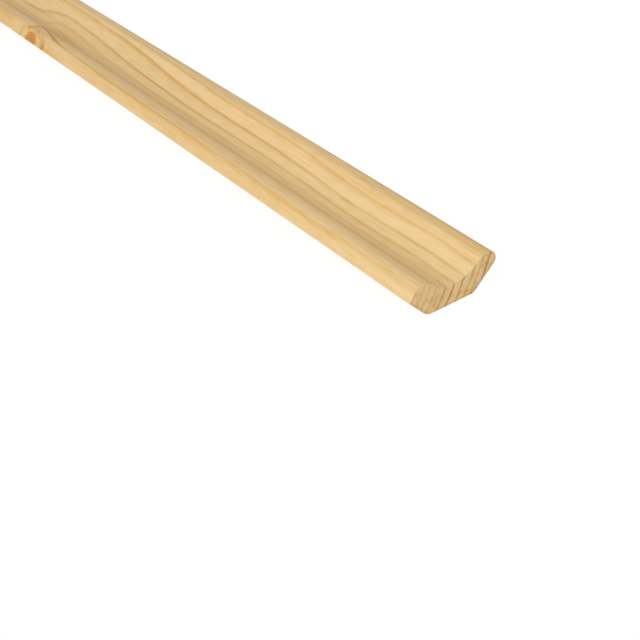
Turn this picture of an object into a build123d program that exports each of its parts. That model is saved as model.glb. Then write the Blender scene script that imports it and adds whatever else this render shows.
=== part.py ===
"""Corner moulding: a length of planed pine that covers an inside corner.

It lies on its flat back with the cove facing up. The length runs along X, the width along Y.
One edge (-Y) has a flat land, whose crest rolls over into the cove. The other (+Y) is a full
round lip. The origin is the middle of the overall width and length, at the level of the back.
All sizes in millimetres.
"""
import os
from math import acos, cos, radians, sin, tan

from build123d import *

# Stock size
LENGTH = 2400
WIDTH = 33
THICKNESS = 12

# Fixing faces: two bevels, square to each other, either side of the back
BEVEL_ANGLE = 45
LAND_SIDE_BACK_ROUND = 5
LIP_SIDE_BACK_ROUND = 1.5

# Flat land along the -Y edge, from its foot up to its crest
LAND_ANGLE = 57
LAND_FOOT_HEIGHT = 7.1
LAND_CREST_HEIGHT = 11.3
LAND_TOP_FLAT = 0.85
LAND_CREST_ROUND = 1.2
LAND_FOOT_ROUND = 0.4

# Full round lip along the +Y edge
LIP_RADIUS = 2.8

# Cove, tighter on the land's side
COVE_DEPTH = 5.25
COVE_LAND_SIDE_RADIUS = 10
COVE_LIP_SIDE_RADIUS = 14
COVE_LIP_EDGE_ROUND = 2

# Corners of the section before rounding, across (y) and up (z). The foot of the land stands
# out a little, so that its round reaches the overall width.
foot_half_angle = radians((LAND_ANGLE + BEVEL_ANGLE) / 2)
foot_lean = radians((LAND_ANGLE - BEVEL_ANGLE) / 2)
foot_set_out = LAND_FOOT_ROUND * (cos(foot_lean) / sin(foot_half_angle) - 1)
land_foot = (-WIDTH / 2 - foot_set_out, LAND_FOOT_HEIGHT)
land_rise = LAND_CREST_HEIGHT - LAND_FOOT_HEIGHT
land_crest = (land_foot[0] + land_rise / tan(radians(LAND_ANGLE)), LAND_CREST_HEIGHT)
lip_tip = (WIDTH / 2 - LIP_RADIUS + LIP_RADIUS / tan(radians(BEVEL_ANGLE / 2)), THICKNESS)
back_land_side = (land_foot[0] + LAND_FOOT_HEIGHT / tan(radians(BEVEL_ANGLE)), 0)
back_lip_side = (lip_tip[0] - THICKNESS / tan(radians(BEVEL_ANGLE)), 0)

# The cove's lowest line is over the middle of the back
cove_middle_y = (back_land_side[0] + back_lip_side[0]) / 2
cove_bottom_z = THICKNESS - COVE_DEPTH
lip_slope = acos(1 - COVE_DEPTH / COVE_LIP_SIDE_RADIUS)

# The brow, a broad round from the land's top into the cove, meets the cove in line with it
brow_start_y = land_crest[0] + LAND_TOP_FLAT
brow_reach = cove_middle_y - brow_start_y
brow_drop = LAND_CREST_HEIGHT - cove_bottom_z
brow_radius = (brow_reach**2 / brow_drop + brow_drop) / 2 - COVE_LAND_SIDE_RADIUS
brow_slope = acos(1 - brow_drop / (brow_radius + COVE_LAND_SIDE_RADIUS))


def cove_point(radius, slope):
    """Point of the cove at a slope, up towards the lip if positive."""
    return (cove_middle_y + radius * sin(slope), cove_bottom_z + radius * (1 - cos(slope)))


def brow_point(slope):
    """Point of the brow at a slope, down towards the cove."""
    return (brow_start_y + brow_radius * sin(slope), LAND_CREST_HEIGHT - brow_radius * (1 - cos(slope)))


cove_edge = cove_point(COVE_LIP_SIDE_RADIUS, lip_slope)
cove_bottom = (cove_middle_y, cove_bottom_z)
brow_end = brow_point(brow_slope)
brow_start = (brow_start_y, LAND_CREST_HEIGHT)

with BuildPart() as moulding:
    with BuildSketch(Plane.YZ.offset(-LENGTH / 2)) as section:
        with BuildLine():
            ThreePointArc(cove_edge, cove_point(COVE_LIP_SIDE_RADIUS, lip_slope / 2), cove_bottom)
            ThreePointArc(cove_bottom, cove_point(COVE_LAND_SIDE_RADIUS, -brow_slope / 2), brow_end)
            ThreePointArc(brow_end, brow_point(brow_slope / 2), brow_start)
            Polyline(brow_start, land_crest, land_foot, back_land_side, back_lip_side, lip_tip, cove_edge)
        make_face()
        rounds = [
            (back_land_side, LAND_SIDE_BACK_ROUND),
            (back_lip_side, LIP_SIDE_BACK_ROUND),
            (land_foot, LAND_FOOT_ROUND),
            (land_crest, LAND_CREST_ROUND),
            (cove_edge, COVE_LIP_EDGE_ROUND),
            (lip_tip, LIP_RADIUS),
        ]
        for corner, radius in rounds:
            fillet(section.vertices().sort_by_distance(corner)[0], radius)
    extrude(amount=LENGTH)

moulding.part.label = "corner_moulding"

os.makedirs("parts", exist_ok=True)
export_step(moulding.part, "parts/corner_moulding.step")
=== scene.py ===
"""A length of planed pine corner moulding, lying on its back on a white sheet.

The piece is swept from the moulding's own section, with eased saw-cut ends. Its wood is solid:
one field of growth rings, bent round the knots, colours the long faces and the end grain alike.
"""

from math import acos, cos, hypot, pi, radians, sin, tan

import bpy
import numpy as np
from mathutils import Matrix, Vector


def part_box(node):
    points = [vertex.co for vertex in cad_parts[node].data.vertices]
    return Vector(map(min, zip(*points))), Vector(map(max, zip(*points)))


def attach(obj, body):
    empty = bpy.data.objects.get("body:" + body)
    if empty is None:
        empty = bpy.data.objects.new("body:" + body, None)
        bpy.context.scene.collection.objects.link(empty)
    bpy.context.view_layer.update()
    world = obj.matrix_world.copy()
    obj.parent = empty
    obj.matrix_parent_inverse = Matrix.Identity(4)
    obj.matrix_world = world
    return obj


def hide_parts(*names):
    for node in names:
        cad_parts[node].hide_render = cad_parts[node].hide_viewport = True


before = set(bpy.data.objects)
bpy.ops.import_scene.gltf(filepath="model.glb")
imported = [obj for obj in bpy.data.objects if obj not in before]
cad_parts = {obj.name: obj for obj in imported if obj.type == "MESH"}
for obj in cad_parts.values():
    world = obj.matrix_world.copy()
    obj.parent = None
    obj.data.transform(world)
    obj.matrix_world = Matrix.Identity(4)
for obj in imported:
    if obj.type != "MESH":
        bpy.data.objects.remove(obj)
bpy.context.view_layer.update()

MM = 0.001
NODE = "corner_moulding"

# Stock size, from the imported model, in millimetres
low, high = (np.array(corner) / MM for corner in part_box(NODE))
LENGTH, WIDTH, THICKNESS = high - low
NEAR_END = high[0]

# Section, as in the part's source, in millimetres and degrees
BEVEL_ANGLE = 45
LAND_SIDE_BACK_ROUND = 5
LIP_SIDE_BACK_ROUND = 1.5
LAND_ANGLE = 57
LAND_FOOT_HEIGHT = 7.1
LAND_CREST_HEIGHT = 11.3
LAND_TOP_FLAT = 0.85
LAND_CREST_ROUND = 1.2
LAND_FOOT_ROUND = 0.4
LIP_RADIUS = 2.8
COVE_DEPTH = 5.25
COVE_LAND_SIDE_RADIUS = 10
COVE_LIP_SIDE_RADIUS = 14
COVE_LIP_EDGE_ROUND = 2

# Mesh: steps round the section and its arcs and along the length, in millimetres and radians, and
# the share of a step that is too little to be one
RUN_STEP = 0.7
STEP_SLACK = 0.01
ARC_STEP = radians(8)
FIRST_STEP, STEP_GROWTH, LAST_STEP = 0.35, 1.04, 12.0
# Eased arris of a saw-cut end: distance from the end, inset of the outline
END_EASE = ((0.18, 0.0), (0.08, 0.02), (0.02, 0.06), (0.0, 0.10))
# It is broken more or less round the outline, by a beating wave and a plain one: share of the
# inset, waves round the outline, phases
ARRIS_BEAT, ARRIS_BEAT_WAVES = 0.4, (31, 13)
ARRIS_WAVE, ARRIS_WAVE_COUNT = 0.3, 47
ARRIS_PHASES = (1, 2)
# Chip in the near end's arris, at the bottom of the cove
CHIP_Y, CHIP_WIDTH, CHIP_LENGTH, CHIP_DEPTH = -1.85, 1.4, 3.2, 0.5

# Map for baking: strips of the long surface, the band above them for the ends, free margins
MAP_NAME = "OFBake"
MAP_STRIPS = 3
MAP_CAP_BAND = 0.08
MAP_MARGIN = 0.004
MAP_CAP_MARGINS = (0.05, 0.1)

# Growth rings round the pith, which lies off the land side of the section. Each ring: its outer
# edge in millimetres from the pith, its late wood on the long faces and on the ends, its tint.
# Nearer the pith there are some plain rings, of one width and one look.
PITH_Y, PITH_Z = -39.0, 21.0
INNER_RINGS, INNER_RING_WIDTH = 8, 2.9
INNER_RING_LOOK = (0.05, 0.40, 0.04)
# The tints are the wood's own colour, but those of the rings out to 32.6 and 35.6, which run through the
# cove, are raised a little more to paint part of the cove's shade.
RINGS = (
    (25.20, 0.00, 0.30, 0.04),
    (27.10, 0.50, 0.50, 0.07),
    (30.20, 0.08, 0.30, 0.12),
    (32.60, 0.10, 0.30, 0.25),
    (35.60, 0.08, 0.35, 0.31),
    (39.85, 0.28, 0.55, 0.27),
    (42.80, 0.50, 0.90, 0.22),
    (46.05, 0.46, 0.70, 0.13),
    (49.00, 0.52, 0.50, 0.04),
    (51.40, 0.25, 0.60, 0.24),
    (54.00, 0.75, 0.88, 0.42),
    (56.50, 0.40, 0.40, 0.25),
    (60.00, 0.40, 0.40, 0.10),
)
# Wood nearer the pith than this is more golden, away from the near end
HEART_EDGE, HEART_TINT, HEART_START = (27.0, 31.0), 0.18, (10, 110)
# The rings sway along the length, more in the outer rings: by how much, wave length, start. The
# sway sets in over a length from the near end.
SWAYS = ((0.3, 150.0, 85.0), (0.28, 95.0, 62.0))
SWAY_FADE = 50.0
# At the near end the rings turn in a little
END_TURN, END_TURN_LENGTH = 0.42, 20.0
# Farther along, the outermost rings turn in too: by how much, over which length, in which rings
OUTER_TURN, OUTER_TURN_REACH, OUTER_RINGS = 0.8, (40, 120), (46.3, 48.3)

# How far noise moves the rings, in millimetres. The inner rings wander less: by this share of it,
# which grows to the whole between two distances from the pith.
SLOW_WANDER_SIZE, QUICK_WANDER_SIZE, RIPPLE_SIZE = 0.6, 0.3, 0.4
INNER_WANDER, WANDER_GROWTH = 0.15, (26, 42)

# Noises in the wood: size of their features along and across the grain in millimetres, detail, seed
SLOW_WANDER = (90, 16, 2, 3.1)
QUICK_WANDER = (18, 5, 2, 8.7)
RIPPLE = (16, 2.5, 2, 6.6)
UNEVEN = (38, 2.5, 2, 2.9)
FIBRE = (45, 0.4, 3, 1.3)
CLOUD = (110, 6, 2, 6.2)
MOTTLE = (7, 1.2, 3, 3.8)
CANAL = (3.5, 0.2, 1, 9.4)
# Noise in the painted shade that falls off along the length
FAR_SHADE_NOISE = (380, 40, 2, 4.4)
END_TORN = (1.0, 0.7, 3, 4.9)
END_PORE = (0.5, 0.3, 3, 2.4)
END_CLOUD = (4, 3, 2, 6.2)
KNOT_RAGGED = (2.2, 1.6, 3, 5.5)
KNOT_SPECKLE = (1.1, 0.9, 2, 7.9)

# Knots: distance from the near end, place in the section, radius
KNOTS = (
    (226.0, -16.6, 6.9, 4.6),
    (792.0, 6.0, 9.0, 2.6),
    (1240.0, -12.0, 9.0, 3.8),
    (1815.0, 14.0, 9.0, 3.2),
)
# A knot is lost well before it reaches the pith: its sides are taken to be this much farther off,
# growing over this stretch of the branch, measured outwards from the knot's place
KNOT_ROOT, KNOT_ROOT_REACH = 12.0, (-5, -15)
# The rings bulge out round a knot, leaning with the branch, steep on its far side. Heights are in
# knot radii. Widths grow with the distance to the side of the branch, in millimetres.
BULGE_LEAN, BULGE_SHIFT = 0.3, 1.1
BULGE_HEIGHT = 1.04
BULGE_PEAK, BULGE_PEAK_REACH = 4.0, 2.0
BULGE_NEAR_WIDTH, BULGE_NEAR_START, BULGE_NEAR_LEAST = 6.6, 29.1, 8.1
BULGE_FAR_WIDTH, BULGE_FAR_START, BULGE_FAR_LEAST = 4.2, 30.3, 1.0
BULGE_EASE = 15.0
BULGE_DIP, BULGE_DIP_LENGTH, BULGE_DIP_REACH = 0.63, 20.0, 5.0

# Looks of a knot, in millimetres from its middle: along the stock, positive towards the near end,
# aside, and out along the branch. A pair says where a look begins and where it is full, and two
# pairs bound it from both sides.
KNOT_EDGE_NOISE, KNOT_LOOP_NOISE = 2.4, 0.8
KNOT_RIM_RADII, KNOT_RIM_STRENGTH = 2.2, 0.2
KNOT_CORE_EDGE, KNOT_CORE_STRENGTH = (0.6, -0.9), 0.85
KNOT_HEART_INSET, KNOT_HEART_RADII, KNOT_HEART_STRENGTH = 0.4, 0.4, 0.6
KNOT_HEART_SPECKLE = (-0.08, 0.16)
# The branch's own rings show as two loops on the near side: size in knot radii, edge, where aside
# they show, strength
LOOPS = ((1.28, (0.5, 0.1), (1, 5), 0.6), (1.62, (1.6, 0.4), (7, 1), 1.0))
LOOP_STRETCH, LOOP_STRENGTH = 1.3, 0.8
LOOP_ALONG, LOOP_OUT = (-3, 2), (8, 4)
# Golden wood at a knot's foot, and a dark seam along the top of the bulge beside it
FOOT_ALONG, FOOT_ASIDE, FOOT_STRENGTH = ((32, 14), (5, 9)), (3, 0.5), 0.9
SEAM_PLACE, SEAM_EDGE, SEAM_STRENGTH = 1.2, (1.3, 0.3), 0.5
SEAM_OUT, SEAM_ASIDE = ((-1, 3), (9, 6)), ((4, 5.5), (9, 7.5))
# Close to a knot, and leading up to it, the ring lines are stronger. All round it they are weaker,
# and past it the wood is more golden.
CLOSE_REACH, CLOSE_ASIDE, CLOSE_ALONG, CLOSE_STRONGER = (26, 9), (8.5, 7.0), (-6, -3), 1.3
LEADING_ALONG, LEADING_ASIDE, LEADING_STRONGER = ((130, 70), (15, 40)), (7.5, 9), 0.4
AROUND_ALONG, AROUND_WEAKER = ((40, 10), (-60, -30)), 0.25
PAST_ALONG, PAST_MIDDLE, PAST_SIDE = ((-12, -24), (-70, -35)), (7, 4), ((7.5, 6), (2.5, 4.5))

# Late wood on the long faces, in shares of a ring: where its line begins and ends, how much wider
# the line of a dark ring or close to a knot is, and a blush of colour before the line
LINE_START, LINE_END = (0.74, 0.94), (1.0, 0.91)
LINE_DARK_WIDER, LINE_NEAR_WIDER = 0.12, 0.5
LINE_UNEVEN = 1.8
LINE_NEAR_COLOUR = 1.8
BLUSH_START, BLUSH_DARK, BLUSH_LEAST = (0.3, 0.9), 0.15, 0.05
# The lines grow from this share to the whole, over this length from the near end
LINE_LEAST, LINE_GROWTH = 0.65, (30, 150)
# How much more golden each noise and zone makes the long faces
FIBRE_TINT, CLOUD_TINT, MOTTLE_SHARE = 0.6, 0.32, 2.0
CANAL_TINT, CANAL_EDGE = 0.15, (0.2, 0.34)
PAST_TINT, NEAR_TINT, LEAST_TINT = 0.2, 0.12, 0.04
# Painted shade, for light that falls off along the length: the wood is a little greyer away from the
# near end, over this length, by about this share
FAR_PAINTED_SHADE_REACH, FAR_PAINTED_SHADE_SHARE = (0, 260), 0.9

# Late wood on the ends, likewise, with its edges torn by the saw
END_LINE_START, END_LINE_END = (0.72, 0.93), (1.0, 0.90)
END_DARK_WIDER, END_TORN_START, END_TORN_END = 0.1, 0.3, 0.15
# How much more golden late wood, the ring, the noises and the saw marks make the ends
END_LATE_TINT, END_RING_TINT, END_GROWTH_TINT = 0.75, 0.15, 0.08
END_PORE_TINT, END_MARK_TINT = 0.4, 0.45
# Stain on the ends in clouds, and painted shade along the lower edge, in millimetres from it
STAIN_CLOUD, STAIN_CLOUD_STRENGTH = (-0.05, 0.3), 0.6
EDGE_SHADE_REACH, EDGE_SHADE_STRENGTH = (1.2, 0.0), 0.5

# Surface of the long faces and of the ends: roughness, how much smoother late wood is, depth of
# the relief in millimetres, specular level
LONG_SURFACE = (0.56, 0.12, 0.03, 0.3)
END_SURFACE = (0.8, 0.1, 0.08, 0.2)
FIBRE_RELIEF, CANAL_RELIEF, END_LATE_RELIEF = 0.8, 0.5, 0.5

# A resin streak in the cove: distance from the near end, place in the section, half its length
# and half its width, and where between its edge and its middle it begins and is full
STREAK = (53.0, 4.2, 7.6, 6.0, 0.9)
STREAK_EDGE, STREAK_STRENGTH = (1.0, 0.2), 0.6

# Colours, as sRGB bytes
EARLY_WOOD = (238, 207, 153)
LATE_WOOD = (210, 164, 88)
# Grey of the painted shade that falls off along the length
FAR_PAINTED_SHADE = (240, 239, 237)
END_EARLY_WOOD = (243, 209, 151)
END_LATE_WOOD = (162, 108, 47)
KNOT_CORE = (195, 131, 55)
KNOT_HEART = (168, 97, 30)
KNOT_RIM = (222, 168, 96)
KNOT_LINE = (188, 130, 38)
# Brown of the stain in clouds on the ends, and of the painted shade along their lower edge
END_STAIN_AND_SHADE = (200, 146, 72)

# Saw marks on the ends: slant in degrees, length and width in millimetres, detail of their noise
SAW_SLANT = -53
SAW_LENGTH, SAW_WIDTH = 5.0, 0.35
SAW_DETAIL = 2

# Light and the white sheet, whose side is in metres
WORLD_LEVEL = 0.537
SUN_LEVEL = 0.505
SUN_FROM = (0.30, -0.70, 0.66)
SUN_SPREAD = radians(40)
FLOOR_ALBEDO = 0.85
FLOOR_SHADOW = 0.08
FLOOR_GLOW = 0.93
FLOOR_SIZE = 60.0

# Camera, in degrees and millimetres: the near end's back is seen at this pixel of a square frame
CAMERA_AZIMUTH = 51.944
CAMERA_ELEVATION = 36.287
CAMERA_DISTANCE = 345.6
FOCAL_PIXELS = 1208.5
FRAME_PIXELS = 640
NEAR_END_PIXEL = (450.51, 304.24)
SENSOR_WIDTH = 36.0
CLIP_START = 10.0


# Section


def line_corners():
    """Corners of the section's straight runs, from the land's crest round the back to the lip."""
    bevel = tan(radians(BEVEL_ANGLE))
    foot_half = radians((LAND_ANGLE + BEVEL_ANGLE) / 2)
    foot_lean = radians((LAND_ANGLE - BEVEL_ANGLE) / 2)
    foot_y = -WIDTH / 2 - LAND_FOOT_ROUND * (cos(foot_lean) / sin(foot_half) - 1)
    crest_y = foot_y + (LAND_CREST_HEIGHT - LAND_FOOT_HEIGHT) / tan(radians(LAND_ANGLE))
    tip_y = WIDTH / 2 - LIP_RADIUS + LIP_RADIUS / tan(radians(BEVEL_ANGLE / 2))
    corners = [
        (crest_y, LAND_CREST_HEIGHT),
        (foot_y, LAND_FOOT_HEIGHT),
        (foot_y + LAND_FOOT_HEIGHT / bevel, 0),
        (tip_y - THICKNESS / bevel, 0),
        (tip_y, THICKNESS),
    ]
    return [np.array(corner) for corner in corners]


def arc_line(centre, radius, start, end):
    """Points of an arc between two angles, which run from +Y towards +Z."""
    count = int(np.ceil(abs(end - start) * max(1 / ARC_STEP, radius / RUN_STEP)))
    angles = np.linspace(start, end, count + 1)
    return [centre + radius * np.array((cos(angle), sin(angle))) for angle in angles]


def rounded_corner(before, here, after, radius):
    """Points of the arc that rounds a corner of two straight runs, anticlockwise."""
    arriving = np.arctan2(*(here - before)[::-1])
    leaving = np.arctan2(*(after - here)[::-1])
    turn = (leaving - arriving) % (2 * pi)
    across = np.array((cos(arriving + turn / 2), sin(arriving + turn / 2)))
    centre = here + radius / cos(turn / 2) * np.array((-across[1], across[0]))
    return arc_line(centre, radius, arriving - pi / 2, arriving + turn - pi / 2)


def cove_line(middle, crest_y):
    """Points of the cove from the lip's edge to the top of the land."""
    bottom = THICKNESS - COVE_DEPTH
    edge = COVE_LIP_EDGE_ROUND
    edge_swing = acos(1 - COVE_DEPTH / (COVE_LIP_SIDE_RADIUS + edge))
    edge_y = middle + (COVE_LIP_SIDE_RADIUS + edge) * sin(edge_swing)
    brow_y = crest_y + LAND_TOP_FLAT
    brow_drop = LAND_CREST_HEIGHT - bottom
    brow = ((middle - brow_y) ** 2 / brow_drop + brow_drop) / 2 - COVE_LAND_SIDE_RADIUS
    brow_swing = acos(1 - brow_drop / (brow + COVE_LAND_SIDE_RADIUS))
    up, down = pi / 2, -pi / 2
    line = arc_line((edge_y, THICKNESS - edge), edge, up, up + edge_swing)
    line += arc_line((middle, bottom + COVE_LIP_SIDE_RADIUS), COVE_LIP_SIDE_RADIUS, down + edge_swing, down)
    line += arc_line((middle, bottom + COVE_LAND_SIDE_RADIUS), COVE_LAND_SIDE_RADIUS, down, down - brow_swing)
    line += arc_line((brow_y, LAND_CREST_HEIGHT - brow), brow, up - brow_swing, up)
    return line


def section_outline():
    """The section's outline as an array of points, anticlockwise seen from +X, and its back's middle."""
    corners = line_corners()
    middle = (corners[2][0] + corners[3][0]) / 2
    cove = cove_line(middle, corners[0][0])
    radii = (LAND_CREST_ROUND, LAND_FOOT_ROUND, LAND_SIDE_BACK_ROUND, LIP_SIDE_BACK_ROUND, LIP_RADIUS)
    path = [cove[-1], *corners, cove[0]]
    points = []
    for before, here, after, radius in zip(path, corners, path[2:], radii):
        points += rounded_corner(before, here, after, radius)
    points += cove
    outline = []
    for here, there in zip(points, points[1:] + points[:1]):
        pieces = int(np.ceil(np.linalg.norm(there - here) / RUN_STEP - STEP_SLACK))
        outline += [here + (there - here) * piece / pieces for piece in range(pieces)]
    return np.array(outline), middle


def inset_outline(outline, insets):
    """The outline moved in by a distance at each point, along the normals there."""
    along = np.roll(outline, -1, 0) - np.roll(outline, 1, 0)
    along /= np.linalg.norm(along, axis=1, keepdims=True)
    return outline + insets[:, None] * np.stack([-along[:, 1], along[:, 0]], 1)


def raggedness(count):
    """How much more or less than usual a saw-cut arris is broken, at each point of the outline."""
    turns = 2 * pi * np.arange(count) / count
    quick, slow = ARRIS_BEAT_WAVES
    beat_phase, wave_phase = ARRIS_PHASES
    beat = ARRIS_BEAT * np.sin(quick * turns) * np.sin(slow * turns + beat_phase)
    return 1 + beat + ARRIS_WAVE * np.sin(ARRIS_WAVE_COUNT * turns + wave_phase)


def chip_depth(ring, station):
    """How deep the small chip in the cove's near edge is below the points of a ring."""
    across = (ring[:, 0] - CHIP_Y) / CHIP_WIDTH
    inside = np.clip(1 - across**2, 0, 1) * (ring[:, 1] > THICKNESS / 2)
    return CHIP_DEPTH * inside * max(0.0, 1 - station / CHIP_LENGTH)


# Piece


def station_list():
    """Distances from the near end and the outline's inset there, close together at both ends."""
    stations = list(reversed(END_EASE))
    place, step = stations[-1][0], FIRST_STEP
    while place + step < LENGTH - LAST_STEP / 2:
        place += step
        stations.append((place, 0.0))
        step = min(step * STEP_GROWTH, LAST_STEP)
    stations += [(LENGTH - depth, inset) for depth, inset in END_EASE]
    return stations


def moulding_mesh():
    """The swept section with eased ends, as a mesh with a map for baking."""
    outline, _ = section_outline()
    stations = station_list()
    count = len(outline)
    rings = []
    for station, inset in stations:
        ring = inset_outline(outline, inset * raggedness(count)) if inset else outline.copy()
        ring[:, 1] -= chip_depth(ring, station)
        rings.append(np.column_stack([np.full(count, NEAR_END - station), ring]))
    vertices = np.concatenate(rings) * MM
    faces = []
    for row in range(len(stations) - 1):
        for column in range(count):
            after = (column + 1) % count
            faces.append((row * count + column, (row + 1) * count + column,
                          (row + 1) * count + after, row * count + after))
    near_cap = tuple(range(count))
    far_cap = tuple((len(stations) - 1) * count + column for column in reversed(range(count)))
    mesh = bpy.data.meshes.new(NODE + "_pine")
    mesh.from_pydata(vertices.tolist(), [], faces + [near_cap, far_cap])
    mesh.validate()
    swept = len(faces)
    mesh.polygons.foreach_set("use_smooth", [index < swept for index in range(swept + 2)])
    mesh.polygons.foreach_set("material_index", [int(index >= swept) for index in range(swept + 2)])
    map_for_baking(mesh, outline, [station for station, _ in stations], swept)
    return mesh


def map_for_baking(mesh, outline, stations, swept):
    """Lays the long surface out as a few strips, one above another, and the ends above them."""
    steps = np.linalg.norm(np.roll(outline, -1, 0) - outline, axis=1)
    around = np.concatenate([[0], np.cumsum(steps)]) / steps.sum()
    count = len(outline)
    strip_length = LENGTH / MAP_STRIPS
    strip_height = (1 - MAP_CAP_BAND) / MAP_STRIPS
    beside, under = MAP_CAP_MARGINS
    places = mesh.uv_layers.new(name=MAP_NAME).uv
    for polygon in mesh.polygons:
        if polygon.index < swept:
            row, column = divmod(polygon.index, count)
            strip = min(MAP_STRIPS - 1, int(stations[row] / strip_length))
            lengths = [stations[row], stations[row + 1], stations[row + 1], stations[row]]
            turns = [around[column], around[column], around[column + 1], around[column + 1]]
            for loop, length, turn in zip(polygon.loop_indices, lengths, turns):
                u = (length - strip * strip_length) / strip_length
                v = (strip + turn * (1 - 2 * MAP_MARGIN)) * strip_height + MAP_MARGIN
                places[loop].vector = (MAP_MARGIN + min(u, 1.0) * (1 - 2 * MAP_MARGIN), v)
        else:
            cap = polygon.index - swept
            for loop in polygon.loop_indices:
                _, y, z = mesh.vertices[mesh.loops[loop].vertex_index].co / MM
                across = beside + (1 - 2 * beside) * (y / WIDTH + 0.5)
                up = under + (1 - 2 * under) * z / THICKNESS
                places[loop].vector = ((cap + across) / 2, 1 - MAP_CAP_BAND * (1 - up))


# Shader formulas


class Term:
    """A number carried between shader nodes, so that a formula can be written as a formula."""

    def __init__(self, tree, socket):
        self.tree = tree
        self.socket = socket

    def math(self, operation, *others, swap=False):
        """The result of a node that takes this and other terms or numbers, reversed by swap."""
        node = self.tree.nodes.new("ShaderNodeMath")
        node.operation = operation
        values = [self, *others]
        if swap:
            values.reverse()
        for slot, value in zip(node.inputs, values):
            if isinstance(value, Term):
                self.tree.links.new(value.socket, slot)
            else:
                slot.default_value = value
        return Term(self.tree, node.outputs[0])

    def __add__(self, other):
        return self.math("ADD", other)

    def __sub__(self, other):
        return self.math("SUBTRACT", other)

    def __rsub__(self, other):
        return self.math("SUBTRACT", other, swap=True)

    def __mul__(self, other):
        return self.math("MULTIPLY", other)

    def __truediv__(self, other):
        return self.math("DIVIDE", other)

    def ramp(self, start, end):
        """0 before start and 1 after end, eased between. start may be the larger."""
        node = self.tree.nodes.new("ShaderNodeMapRange")
        node.interpolation_type = "SMOOTHSTEP"
        self.tree.links.new(self.socket, node.inputs["Value"])
        node.inputs["From Min"].default_value = min(start, end)
        node.inputs["From Max"].default_value = max(start, end)
        node.inputs["To Min"].default_value = float(start > end)
        node.inputs["To Max"].default_value = float(start < end)
        return Term(self.tree, node.outputs["Result"])

    def window(self, one_side, other_side):
        """1 between two ramps and 0 outside them."""
        return self.ramp(*one_side) * self.ramp(*other_side)


def hypotenuse(a, b):
    """The longest side of a right triangle, from the other two."""
    return (a * a + b * b).math("SQRT")


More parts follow.
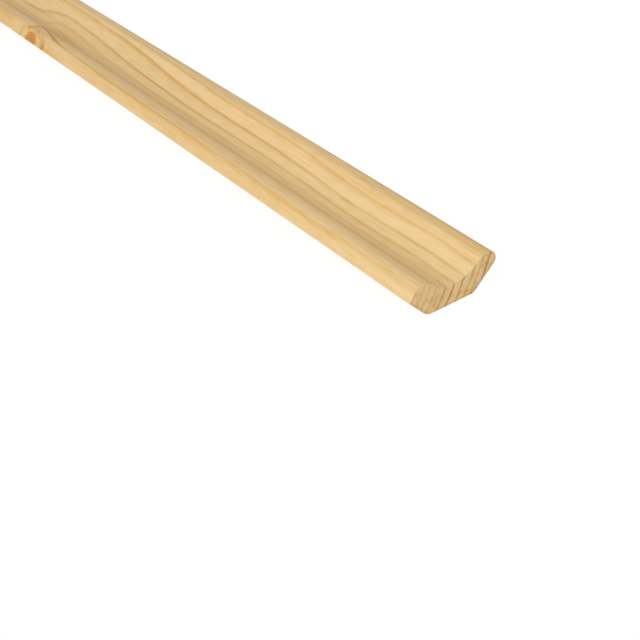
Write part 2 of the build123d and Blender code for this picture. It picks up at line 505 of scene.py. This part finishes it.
class Wood:
    """The nodes of one wood material, and the grain's fields in millimetres."""

    def __init__(self, name):
        self.material = bpy.data.materials.new(name)
        self.material.use_nodes = True
        self.tree = self.material.node_tree
        self.tree.nodes.clear()
        place = self.tree.nodes.new("ShaderNodeTexCoord").outputs["Object"]
        scale = self.tree.nodes.new("ShaderNodeVectorMath")
        scale.operation = "SCALE"
        scale.inputs["Scale"].default_value = 1 / MM
        self.tree.links.new(place, scale.inputs[0])
        split = self.tree.nodes.new("ShaderNodeSeparateXYZ")
        self.tree.links.new(scale.outputs[0], split.inputs[0])
        x, self.y, self.z = (Term(self.tree, socket) for socket in split.outputs)
        self.depth = NEAR_END - x

    def noise_at(self, place, detail):
        """Noise about 0, from -0.5 to 0.5, with features about 1 long, at a place of two or three terms."""
        join = self.tree.nodes.new("ShaderNodeCombineXYZ")
        for slot, term in zip(join.inputs, place):
            self.tree.links.new(term.socket, slot)
        node = self.tree.nodes.new("ShaderNodeTexNoise")
        self.tree.links.new(join.outputs[0], node.inputs["Vector"])
        node.inputs["Scale"].default_value = 1.0
        node.inputs["Detail"].default_value = detail
        return Term(self.tree, node.outputs["Fac"]) - 0.5

    def noise(self, along, across, detail, seed):
        """Noise with features of these sizes along and across the grain."""
        return self.noise_at((self.depth / along + seed, self.y / across, self.z / across), detail)

    def mix(self, factor, first, second, blend="MIX"):
        """A colour between two, by a term. Each colour is an sRGB tuple or a socket."""
        node = self.tree.nodes.new("ShaderNodeMix")
        node.data_type = "RGBA"
        node.blend_type = blend
        slots = {slot.identifier: slot for slot in node.inputs}
        pairs = (("Factor_Float", factor), ("A_Color", first), ("B_Color", second))
        for key, value in pairs:
            if isinstance(value, Term):
                self.tree.links.new(value.socket, slots[key])
            elif isinstance(value, tuple):
                slots[key].default_value = linear(value)
            else:
                self.tree.links.new(value, slots[key])
        return next(slot for slot in node.outputs if slot.identifier == "Result_Color")

    def lookup(self, place, stops, interpolation):
        """Three terms read from a colour ramp, whose stops are a place from 0 to 1 and three values."""
        node = self.tree.nodes.new("ShaderNodeValToRGB")
        node.color_ramp.interpolation = interpolation
        elements = node.color_ramp.elements
        for index, (position, values) in enumerate(stops):
            stop = elements[index] if index < len(elements) else elements.new(position)
            stop.position = position
            stop.color = (*values, 1)
        self.tree.links.new(place.socket, node.inputs[0])
        split = self.tree.nodes.new("ShaderNodeSeparateColor")
        self.tree.links.new(node.outputs["Color"], split.inputs[0])
        return [Term(self.tree, socket) for socket in split.outputs]

    def knot_fields(self, knot):
        """How far the rings bulge round a knot, and where a point is beside the branch."""
        depth, knot_y, knot_z, radius = knot
        reach = hypot(knot_y - PITH_Y, knot_z - PITH_Z)
        out_y, out_z = (knot_y - PITH_Y) / reach, (knot_z - PITH_Z) / reach
        along = (self.y - knot_y) * out_y + (self.z - knot_z) * out_z
        aside = ((self.y - knot_y) * out_z - (self.z - knot_z) * out_y).math("ABSOLUTE")
        aside = aside + along.ramp(*KNOT_ROOT_REACH) * KNOT_ROOT
        straight = depth - self.depth
        run = straight + along * BULGE_LEAN + BULGE_SHIFT
        near = (aside * BULGE_NEAR_WIDTH - BULGE_NEAR_START).math("SMOOTH_MAX", BULGE_NEAR_LEAST, BULGE_EASE)
        far = (aside * BULGE_FAR_WIDTH - BULGE_FAR_START).math("SMOOTH_MAX", BULGE_FAR_LEAST, BULGE_EASE)
        near_side = run.math("GREATER_THAN", 0.0)
        share = run / (far + near_side * (near - far))
        peak = (aside / -BULGE_PEAK_REACH).math("EXPONENT") * (BULGE_PEAK * radius)
        dip = (aside / -BULGE_DIP_REACH).math("EXPONENT") * (BULGE_DIP * radius)
        bulge = (peak + BULGE_HEIGHT * radius) / (share * share + 1.0)
        return bulge - dip * run.ramp(0, -BULGE_DIP_LENGTH), (straight, run, aside, along, radius)

    def grain(self):
        """Place in the ring from 0 to 1, the ring's look, and each knot's place and radius."""
        plain = hypotenuse(self.y - PITH_Y, self.z - PITH_Z)
        wander = self.noise(*SLOW_WANDER) * SLOW_WANDER_SIZE + self.noise(*QUICK_WANDER) * QUICK_WANDER_SIZE
        for sway, length, start in SWAYS:
            wave = ((self.depth - start) * (2 * pi / length)).math("SINE") * sway
            wander = wander - wave * self.depth.ramp(0, SWAY_FADE)
        wander = wander + self.depth.ramp(END_TURN_LENGTH, 0) * END_TURN
        freedom = plain.ramp(*WANDER_GROWTH) * (1 - INNER_WANDER) + INNER_WANDER
        out = plain + wander * freedom + self.noise(*RIPPLE) * RIPPLE_SIZE
        knots = []
        for knot in KNOTS:
            bulge, place = self.knot_fields(knot)
            out = out - bulge
            knots.append(place)
        out = out + out.ramp(*OUTER_RINGS) * self.depth.ramp(*OUTER_TURN_REACH) * OUTER_TURN
        core = RINGS[0][0] - INNER_RINGS * INNER_RING_WIDTH
        rings = [(core + INNER_RING_WIDTH * index, *INNER_RING_LOOK) for index in range(INNER_RINGS)]
        rings += RINGS
        count, span = len(rings), rings[-1][0] - core
        stops = [((ring[0] - core) / span, [index / (count - 1)] * 3) for index, ring in enumerate(rings)]
        number = self.lookup((out - core) / span, stops, "LINEAR")[0] * (count - 1)
        looks = [(index / count, ring[1:]) for index, ring in enumerate(rings)]
        long_late, end_late, tint = self.lookup((number.math("CEIL") + 0.5) / count, looks, "CONSTANT")
        heart = out.ramp(*reversed(HEART_EDGE)) * self.depth.ramp(*HEART_START)
        return number.math("FRACT"), (long_late, end_late, tint + heart * HEART_TINT), knots

    def saw_marks(self):
        """Noise about 0 in slanting streaks across the section."""
        slant = radians(SAW_SLANT)
        along = self.y * cos(slant) + self.z * sin(slant)
        across = self.z * cos(slant) - self.y * sin(slant)
        return self.noise_at((along / SAW_LENGTH, across / SAW_WIDTH), SAW_DETAIL)

    def lower_edge(self):
        """Distance from the back and the bevels, inside the section."""
        slope = radians(BEVEL_ANGLE)
        corners = line_corners()
        land_side = (self.y - corners[2][0]) * sin(slope) + self.z * cos(slope)
        lip_side = self.z * cos(slope) - (self.y - corners[3][0]) * sin(slope)
        return self.z.math("MINIMUM", land_side).math("MINIMUM", lip_side)

    def finish(self, colour, late, relief, surface):
        """The material, from its colour, its late wood, its relief and the values of its surface."""
        rough, smoother, relief_depth, specular = surface
        roughness = rough - late * smoother
        shader = self.tree.nodes.new("ShaderNodeBsdfPrincipled")
        output = self.tree.nodes.new("ShaderNodeOutputMaterial")
        bump = self.tree.nodes.new("ShaderNodeBump")
        bump.inputs["Distance"].default_value = relief_depth * MM
        self.tree.links.new(relief.socket, bump.inputs["Height"])
        self.tree.links.new(colour, shader.inputs["Base Color"])
        self.tree.links.new(roughness.socket, shader.inputs["Roughness"])
        self.tree.links.new(bump.outputs[0], shader.inputs["Normal"])
        shader.inputs["Specular IOR Level"].default_value = specular
        self.tree.links.new(shader.outputs[0], output.inputs["Surface"])
        return self.material


def linear(colour):
    """sRGB bytes as linear red, green, blue and alpha."""
    shares = [value / 255 for value in colour]
    return (*(s / 12.92 if s <= 0.04045 else ((s + 0.055) / 1.055) ** 2.4 for s in shares), 1.0)


def knot_colours(wood, colour, knots):
    """Colours the knots, the branch's own rings on their near side, and the wood just round them."""
    ragged = wood.noise(*KNOT_RAGGED)
    speckle = wood.noise(*KNOT_SPECKLE).ramp(*KNOT_HEART_SPECKLE)
    for straight, run, aside, along, radius in knots:
        distance = hypotenuse(straight, aside) + ragged * KNOT_EDGE_NOISE
        rim = distance.ramp(radius * KNOT_RIM_RADII, radius) * KNOT_RIM_STRENGTH
        foot = straight.window(*FOOT_ALONG) * aside.ramp(*FOOT_ASIDE) * FOOT_STRENGTH
        colour = wood.mix(rim + foot, colour, KNOT_RIM)
        around = hypotenuse(straight / LOOP_STRETCH, aside) + ragged * KNOT_LOOP_NOISE
        loops = 0.0
        for size, edge, reach, strength in LOOPS:
            loop = (around - size * radius).math("ABSOLUTE").ramp(*edge) * aside.ramp(*reach)
            loops = loop * strength + loops
        near_side = straight.ramp(*LOOP_ALONG) * along.ramp(*LOOP_OUT)
        colour = wood.mix(loops * near_side * LOOP_STRENGTH, colour, KNOT_LINE)
        seam = (run + SEAM_PLACE + ragged).math("ABSOLUTE").ramp(*SEAM_EDGE) * along.window(*SEAM_OUT)
        colour = wood.mix(seam * aside.window(*SEAM_ASIDE) * SEAM_STRENGTH, colour, KNOT_LINE)
        core = distance.ramp(*(radius + edge for edge in KNOT_CORE_EDGE))
        colour = wood.mix(core * KNOT_CORE_STRENGTH, colour, KNOT_CORE)
        heart = distance.ramp(radius - KNOT_HEART_INSET, radius * KNOT_HEART_RADII) * speckle
        colour = wood.mix(heart * KNOT_HEART_STRENGTH, colour, KNOT_HEART)
    return colour


def ring_strength(knots):
    """How strong the ring lines are, usually 1, and how close to a knot or past one a point is, 0 to 1."""
    strength, near, past = 1.0, 0.0, 0.0
    for straight, _, aside, _, _ in knots:
        close = hypotenuse(straight, aside).ramp(*CLOSE_REACH) * aside.ramp(*CLOSE_ASIDE)
        close = close * straight.ramp(*CLOSE_ALONG)
        leading = straight.window(*LEADING_ALONG) * aside.ramp(*LEADING_ASIDE)
        weaker = straight.window(*AROUND_ALONG) * AROUND_WEAKER * (1.0 - close)
        strength = leading * LEADING_STRONGER - weaker + close * CLOSE_STRONGER + strength
        near = close + near
        band = aside.ramp(*PAST_MIDDLE) + aside.window(*PAST_SIDE)
        past = straight.window(*PAST_ALONG) * band + past
    return strength, near, past


def streak_share(wood):
    """1 in the middle of the resin streak and 0 beside it."""
    depth, y, z, half_length, half_width = STREAK
    beside = hypotenuse(wood.y - y, wood.z - z) / half_width
    return hypotenuse((wood.depth - depth) / half_length, beside).ramp(*STREAK_EDGE)


def long_grain():
    """Planed wood along the grain."""
    wood = Wood("pine_long_grain")
    share, (dark, _, tint), knots = wood.grain()
    strength, near, past = ring_strength(knots)
    outer = share.ramp(*LINE_END)
    line = (share + dark * LINE_DARK_WIDER + near * LINE_NEAR_WIDER).ramp(*LINE_START) * outer
    uneven = wood.noise(*UNEVEN) * LINE_UNEVEN + 1.0
    growth = wood.depth.ramp(*LINE_GROWTH) * (1 - LINE_LEAST) + LINE_LEAST
    blush = share.ramp(*BLUSH_START) * outer * (dark * BLUSH_DARK + BLUSH_LEAST)
    late = line * dark * uneven * strength * growth + blush
    fibre = wood.noise(*FIBRE)
    cloud = wood.noise(*CLOUD) + wood.noise(*MOTTLE) * MOTTLE_SHARE
    canals = wood.noise(*CANAL).ramp(*CANAL_EDGE)
    golden = late + tint + fibre * FIBRE_TINT + cloud * CLOUD_TINT + canals * CANAL_TINT
    golden = golden + past * PAST_TINT + near * NEAR_TINT + LEAST_TINT
    colour = wood.mix(golden, EARLY_WOOD, LATE_WOOD)
    colour = wood.mix(line * near * dark * LINE_NEAR_COLOUR, colour, KNOT_LINE)
    colour = wood.mix(streak_share(wood) * STREAK_STRENGTH, colour, LATE_WOOD)
    # Painted shade: the colour is darkened towards grey away from the near end, for light falling off
    painted_falloff = wood.depth.ramp(*FAR_PAINTED_SHADE_REACH) * (wood.noise(*FAR_SHADE_NOISE) + FAR_PAINTED_SHADE_SHARE)
    colour = wood.mix(painted_falloff, colour, FAR_PAINTED_SHADE, "MULTIPLY")
    colour = knot_colours(wood, colour, knots)
    relief = late + fibre * FIBRE_RELIEF - canals * CANAL_RELIEF
    return wood.finish(colour, late, relief, LONG_SURFACE)


def end_grain():
    """Saw-cut wood across the grain, with slanting saw marks and painted shade along the lower edge."""
    wood = Wood("pine_end_grain")
    share, (_, dark, tint), knots = wood.grain()
    torn = wood.noise(*END_TORN)
    line = (share + dark * END_DARK_WIDER + torn * END_TORN_START).ramp(*END_LINE_START)
    late = line * (share + torn * END_TORN_END).ramp(*END_LINE_END) * dark
    pores = wood.noise(*END_PORE)
    cloud = wood.noise(*END_CLOUD)
    marks = wood.saw_marks()
    golden = late * (cloud + END_LATE_TINT) + tint * END_RING_TINT + share * END_GROWTH_TINT
    golden = golden + pores * END_PORE_TINT + marks * END_MARK_TINT
    colour = wood.mix(golden, END_EARLY_WOOD, END_LATE_WOOD)
    colour = wood.mix(cloud.ramp(*STAIN_CLOUD) * STAIN_CLOUD_STRENGTH, colour, END_STAIN_AND_SHADE)
    # Painted shade: the ends are darker close to the back and the bevels, for the shade under the piece
    edge = wood.lower_edge().ramp(*EDGE_SHADE_REACH)
    colour = wood.mix(edge * (cloud + EDGE_SHADE_STRENGTH), colour, END_STAIN_AND_SHADE)
    colour = knot_colours(wood, colour, knots)
    relief = pores + marks + late * END_LATE_RELIEF
    return wood.finish(colour, late, relief, END_SURFACE)


# Stage


def seen_white(tree):
    """1 where the stage is seen by the camera, directly or in a glossy or clear surface."""
    path = tree.nodes.new("ShaderNodeLightPath")
    rays = ("Is Camera Ray", "Is Glossy Ray", "Is Transmission Ray")
    camera, glossy, clear = (Term(tree, path.outputs[ray]) for ray in rays)
    return camera.math("MAXIMUM", glossy).math("MAXIMUM", clear)


def white_floor():
    """A sheet that stays white to the camera but keeps a faint shadow of the piece."""
    half = FLOOR_SIZE / 2
    mesh = bpy.data.meshes.new("floor")
    ground = low[2] * MM
    corners = [(-half, -half, ground), (half, -half, ground), (half, half, ground), (-half, half, ground)]
    mesh.from_pydata(corners, [], [(0, 1, 2, 3)])
    floor = bpy.data.objects.new("floor", mesh)
    bpy.context.scene.collection.objects.link(floor)
    material = bpy.data.materials.new("white_sheet")
    material.use_nodes = True
    tree = material.node_tree
    tree.nodes.clear()
    paper = tree.nodes.new("ShaderNodeBsdfDiffuse")
    paper.inputs["Color"].default_value = (FLOOR_ALBEDO, FLOOR_ALBEDO, FLOOR_ALBEDO, 1)
    open_light = WORLD_LEVEL + SUN_LEVEL * SUN_FROM[2]
    shade = tree.nodes.new("ShaderNodeBsdfDiffuse")
    shade.inputs["Color"].default_value = (*[FLOOR_SHADOW / open_light] * 3, 1)
    glow = tree.nodes.new("ShaderNodeEmission")
    glow.inputs["Strength"].default_value = FLOOR_GLOW
    white = tree.nodes.new("ShaderNodeAddShader")
    tree.links.new(glow.outputs[0], white.inputs[0])
    tree.links.new(shade.outputs[0], white.inputs[1])
    seen = tree.nodes.new("ShaderNodeMixShader")
    tree.links.new(seen_white(tree).socket, seen.inputs[0])
    tree.links.new(paper.outputs[0], seen.inputs[1])
    tree.links.new(white.outputs[0], seen.inputs[2])
    output = tree.nodes.new("ShaderNodeOutputMaterial")
    tree.links.new(seen.outputs[0], output.inputs["Surface"])
    mesh.materials.append(material)


def white_world():
    """Even light from all round, white where the camera sees it."""
    world = bpy.data.worlds.new("white_room")
    world.use_nodes = True
    bpy.context.scene.world = world
    tree = world.node_tree
    back = tree.nodes["Background"]
    level = seen_white(tree) * (1.0 - WORLD_LEVEL) + WORLD_LEVEL
    back.inputs["Color"].default_value = (1, 1, 1, 1)
    tree.links.new(level.socket, back.inputs["Strength"])


def soft_sun():
    """A wide soft lamp from the land side, even along the whole length."""
    lamp = bpy.data.lights.new("soft_sun", "SUN")
    lamp.energy = SUN_LEVEL * pi
    lamp.angle = SUN_SPREAD
    sun = bpy.data.objects.new("soft_sun", lamp)
    sun.rotation_euler = Vector(SUN_FROM).to_track_quat("Z", "Y").to_euler()
    bpy.context.scene.collection.objects.link(sun)


def photo_camera():
    """The camera, placed so that the near end's back falls on its pixel."""
    _, middle = section_outline()
    turn, rise = radians(CAMERA_AZIMUTH), radians(CAMERA_ELEVATION)
    right = Vector((cos(turn), sin(turn), 0))
    ahead = Vector((-sin(turn) * cos(rise), cos(turn) * cos(rise), -sin(rise)))
    up = right.cross(ahead)
    across = (NEAR_END_PIXEL[0] - FRAME_PIXELS / 2) / FOCAL_PIXELS
    down = (NEAR_END_PIXEL[1] - FRAME_PIXELS / 2) / FOCAL_PIXELS
    target = Vector((NEAR_END, middle, low[2]))
    place = target - (ahead + right * across - up * down) * CAMERA_DISTANCE
    data = bpy.data.cameras.new("camera")
    data.sensor_width = SENSOR_WIDTH
    data.lens = SENSOR_WIDTH * FOCAL_PIXELS / FRAME_PIXELS
    data.clip_start = CLIP_START * MM
    camera = bpy.data.objects.new("camera", data)
    turned = Matrix((right, up, -ahead)).transposed().to_4x4()
    camera.matrix_world = Matrix.Translation(place * MM) @ turned
    bpy.context.scene.collection.objects.link(camera)
    bpy.context.scene.camera = camera


moulding = bpy.data.objects.new(NODE + "_pine", moulding_mesh())
bpy.context.scene.collection.objects.link(moulding)
moulding.data.materials.append(long_grain())
moulding.data.materials.append(end_grain())
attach(moulding, "root")
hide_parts(NODE)

white_floor()
white_world()
soft_sun()
photo_camera()
bpy.context.scene.view_settings.view_transform = "Standard"
